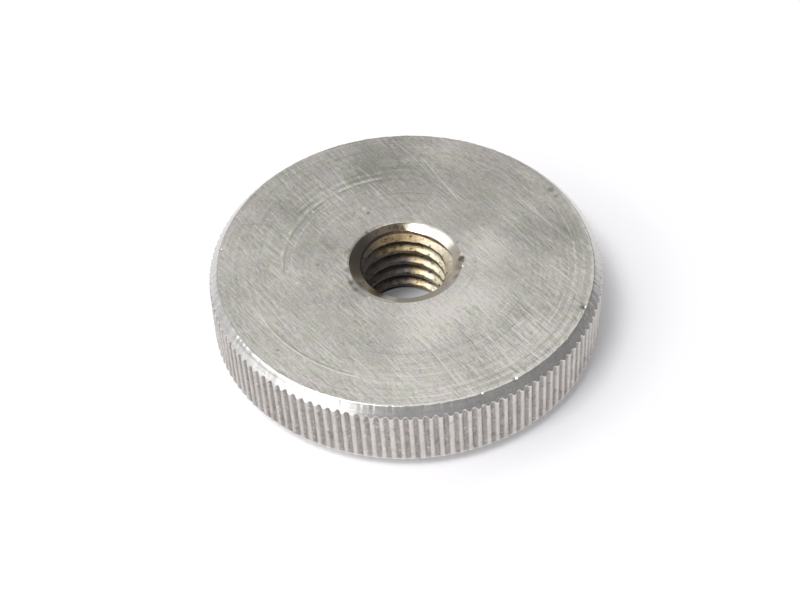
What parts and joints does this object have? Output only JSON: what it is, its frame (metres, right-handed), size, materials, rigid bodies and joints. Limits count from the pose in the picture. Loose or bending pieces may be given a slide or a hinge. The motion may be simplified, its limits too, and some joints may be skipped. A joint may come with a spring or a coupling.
{
  "type": "knurled nut",
  "caption": "Thin round knurled nut: a turned steel disc with a straight-knurled, bevelled rim and a tapped hole through its centre.",
  "frame": {"origin": "centre of the underside, on the axis of the tapped hole", "axes": "+Z along the axis of the hole, from the underside to the countersunk top face; X and Y across the disc, each through a crest of the knurl"},
  "size_m": [0.024, 0.024, 0.005],
  "materials": {
    "turned_steel": "turned and sanded satin steel, scratched, with a bright bevel and a stained hole"
  },
  "bodies": {
    "root": {"knurled_nut": "turned_steel"}
  },
  "joints": []
}
